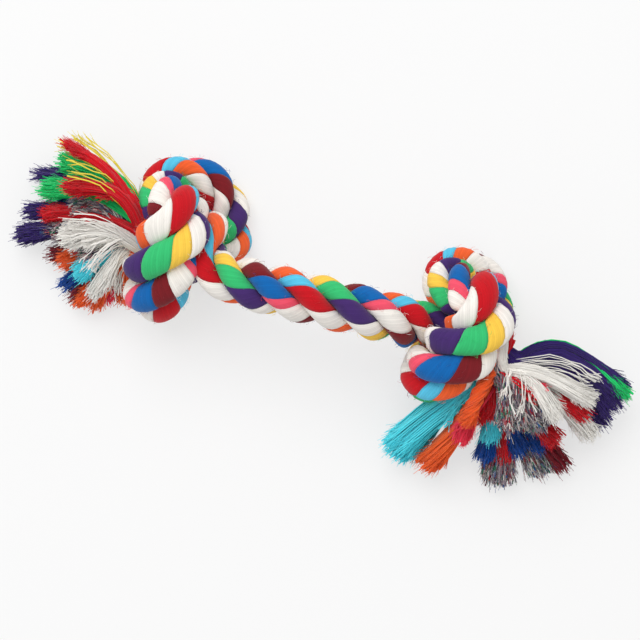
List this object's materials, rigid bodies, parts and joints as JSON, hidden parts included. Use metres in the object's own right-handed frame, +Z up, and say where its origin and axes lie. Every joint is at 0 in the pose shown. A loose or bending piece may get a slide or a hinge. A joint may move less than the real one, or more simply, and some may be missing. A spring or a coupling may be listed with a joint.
{
  "type": "rope dog toy",
  "caption": "Multicoloured three-strand cotton rope dog toy with an overhand knot near each end and frayed yarn tassels.",
  "frame": {"origin": "on the surface that the toy lies on, below the middle of the whole toy, tassels included", "axes": "+X along the straight grip from the left knot to the right knot, +Z up, away from the surface, so +Y points to the side where the knots' rings stand out"},
  "size_m": [0.2705, 0.1103, 0.0571],
  "materials": {
    "orange_yarn": "soft matt cotton yarn",
    "light_blue_yarn": "soft matt cotton yarn",
    "red_yarn": "soft matt cotton yarn",
    "white_yarn": "soft matt cotton yarn",
    "mixed_yarn": "soft matt cotton yarn",
    "yellow_yarn": "soft matt cotton yarn",
    "green_yarn": "soft matt cotton yarn",
    "purple_yarn": "soft matt cotton yarn",
    "maroon_yarn": "soft matt cotton yarn",
    "blue_yarn": "soft matt cotton yarn",
    "pink_yarn": "soft matt cotton yarn"
  },
  "bodies": {
    "root": {"strand_a_orange_yarn": "orange_yarn", "strand_a_light_blue_yarn": "light_blue_yarn", "strand_a_red_yarn": "red_yarn", "strand_a_white_yarn": "white_yarn", "strand_a_mixed_core": "mixed_yarn", "strand_b_yellow_yarn": "yellow_yarn", "strand_b_green_yarn": "green_yarn", "strand_b_purple_yarn": "purple_yarn", "strand_b_white_yarn": "white_yarn", "strand_b_mixed_core": "mixed_yarn", "strand_c_maroon_yarn": "maroon_yarn", "strand_c_blue_yarn": "blue_yarn", "strand_c_pink_yarn": "pink_yarn", "strand_c_white_yarn": "white_yarn", "strand_c_mixed_core": "mixed_yarn"}
  },
  "joints": []
}
